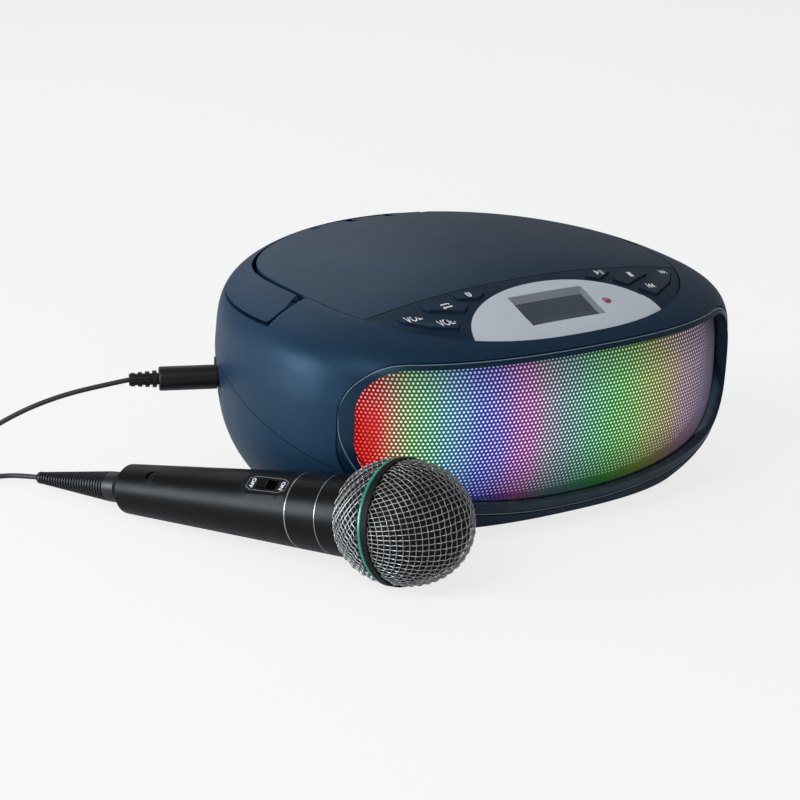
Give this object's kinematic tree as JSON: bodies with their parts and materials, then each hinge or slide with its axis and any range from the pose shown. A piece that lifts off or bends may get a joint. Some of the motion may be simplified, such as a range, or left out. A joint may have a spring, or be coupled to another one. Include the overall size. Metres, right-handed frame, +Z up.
{
  "type": "karaoke machine",
  "caption": "Table-top karaoke machine: a disc well under a hinged lid, a lit front grille, a folding handle, a key panel, and a wired microphone lying beside it.",
  "frame": {"origin": "under the middle of the case, on the plane of its feet", "axes": "+X to the right of someone facing the grille, +Y to the back of the case, +Z up"},
  "size_m": [0.3819, 0.3095, 0.1156],
  "materials": {
    "navy_shell": "satin navy blue plastic",
    "panel_plastic": "satin dark navy plastic",
    "frame_plastic": "glossy dark navy plastic",
    "perforated_metal": "perforated sheet, dark",
    "diffuser": "translucent, lit from behind",
    "bezel_silver": "silver satin",
    "display_glass": "grey window",
    "lens_red": "dark red, translucent",
    "board": "printed board",
    "black_plastic": "matt black",
    "steel": "plain steel",
    "foot_rubber": "matt black",
    "paper_black": "matt black",
    "plug_plastic": "satin black",
    "cord_jacket": "satin dark grey",
    "mic_black": "satin black",
    "mic_mesh": "woven wire, black",
    "ring_green": "bright green"
  },
  "bodies": {
    "case": {"lower_housing": "navy_shell", "upper_housing": "navy_shell", "jack_plate": "navy_shell", "control_panel": "panel_plastic", "grille_frame": "frame_plastic", "speaker_grille": "perforated_metal", "light_diffuser": "diffuser", "display_bezel": "bezel_silver", "display_window": "display_glass", "infrared_lens": "lens_red", "led_board": "board", "key_board": "board", "main_board": "board", "display_module": "black_plastic", "disc_well": "black_plastic", "mechanism_chassis": "black_plastic", "mains_inlet": "black_plastic", "mic_jacks": "black_plastic", "speaker_baffle": "black_plastic", "case_screws": "steel", "battery_contacts": "steel", "handle_pins": "steel", "hinge_pins": "steel", "lid_latch": "steel", "guide_rods": "steel", "spindle_motor": "steel", "sled_motor": "steel", "power_transformer": "steel", "speaker_frames": "steel", "feet": "foot_rubber", "rubber_dampers": "foot_rubber", "plug_relief": "foot_rubber", "speaker_cones": "paper_black", "mic_plug": "plug_plastic", "mic_cord": "cord_jacket", "mic_cord_coil": "cord_jacket"},
    "lid": {"disc_lid": "navy_shell"},
    "clamper": {"disc_clamper": "black_plastic"},
    "handle": {"carry_handle": "navy_shell"},
    "turntable": {"turntable": "black_plastic"},
    "sled": {"pickup_sled": "black_plastic"},
    "sled_gear": {"sled_gear": "black_plastic"},
    "volume_key": {"volume_key": "panel_plastic"},
    "program_key": {"program_key": "panel_plastic"},
    "function_key": {"function_key": "panel_plastic"},
    "play_key": {"play_key": "panel_plastic"},
    "stop_key": {"stop_key": "panel_plastic"},
    "skip_key": {"skip_key": "panel_plastic"},
    "battery_door": {"battery_door": "navy_shell"},
    "microphone": {"mic_body": "mic_black", "mic_screw": "steel", "mic_switch_plate": "black_plastic", "mic_collar": "mic_black", "mic_neck": "mic_black", "mic_windscreen_rear": "mic_mesh", "mic_ring": "ring_green", "mic_windscreen_front": "mic_mesh", "mic_capsule": "steel", "mic_boot": "foot_rubber"},
    "mic_switch": {"mic_switch": "black_plastic"}
  },
  "joints": [
    {"name": "lid_hinge", "type": "hinge", "parent": "case", "child": "lid", "pos_m": [0, 0.0775, 0.1089], "axis": [-1, 0, 0], "range_deg": [0, 60]},
    {"name": "clamper_spin", "type": "hinge", "parent": "lid", "child": "clamper", "pos_m": [0, 0.013, 0.096], "axis": [0, 0, 1], "continuous": true},
    {"name": "handle_hinge", "type": "hinge", "parent": "case", "child": "handle", "pos_m": [0, -0.0104, 0.1005], "axis": [1, 0, 0], "range_deg": [0, 90]},
    {"name": "turntable_spin", "type": "hinge", "parent": "case", "child": "turntable", "pos_m": [0, 0.013, 0.085], "axis": [0, 0, 1], "continuous": true},
    {"name": "sled_slide", "type": "slide", "parent": "case", "child": "sled", "axis": [0, -1, 0], "range_m": [0, 0.034]},
    {"name": "sled_gear_spin", "type": "hinge", "parent": "case", "child": "sled_gear", "pos_m": [0.03935, -0.033, 0.0825], "axis": [0, 0, 1], "range_deg": [-5, 290]},
    {"name": "volume_rocker", "type": "hinge", "parent": "case", "child": "volume_key", "pos_m": [-0.06478, -0.07136, 0.09386], "axis": [0.5861, 0.8102, 0], "range_deg": [-1.8, 1.8], "stiffness_Nm_per_rad": 0.05},
    {"name": "skip_rocker", "type": "hinge", "parent": "case", "child": "skip_key", "pos_m": [0.06638, -0.06815, 0.09475], "axis": [0.6259, -0.7799, 0], "range_deg": [-1.8, 1.8], "stiffness_Nm_per_rad": 0.05},
    {"name": "program_key_press", "type": "slide", "parent": "case", "child": "program_key", "axis": [0, 0, -1], "range_m": [0, 0.0009], "stiffness_N_per_m": 250, "springref_m": -0.0008},
    {"name": "function_key_press", "type": "slide", "parent": "case", "child": "function_key", "axis": [0, 0, -1], "range_m": [0, 0.0009], "stiffness_N_per_m": 250, "springref_m": -0.0008},
    {"name": "play_key_press", "type": "slide", "parent": "case", "child": "play_key", "axis": [0, 0, -1], "range_m": [0, 0.0009], "stiffness_N_per_m": 250, "springref_m": -0.0008},
    {"name": "stop_key_press", "type": "slide", "parent": "case", "child": "stop_key", "axis": [0, 0, -1], "range_m": [0, 0.0009], "stiffness_N_per_m": 250, "springref_m": -0.0008},
    {"name": "battery_door_slide", "type": "slide", "parent": "case", "child": "battery_door", "axis": [0, 1, 0], "range_m": [0, 0.009]},
    {"name": "mic_lift", "type": "slide", "parent": "case", "child": "microphone", "axis": [-0.6006, -0.4505, 0.6606], "range_m": [0, 0.03]},
    {"name": "mic_switch_slide", "type": "slide", "parent": "microphone", "child": "mic_switch", "axis": [0.3266, -0.9393, 0.1049], "range_m": [0, 0.0042]}
  ],
  "couplings": [
    {"joint": "sled_gear_spin", "follows": "sled_slide", "rad_per_m": 145.99}
  ]
}
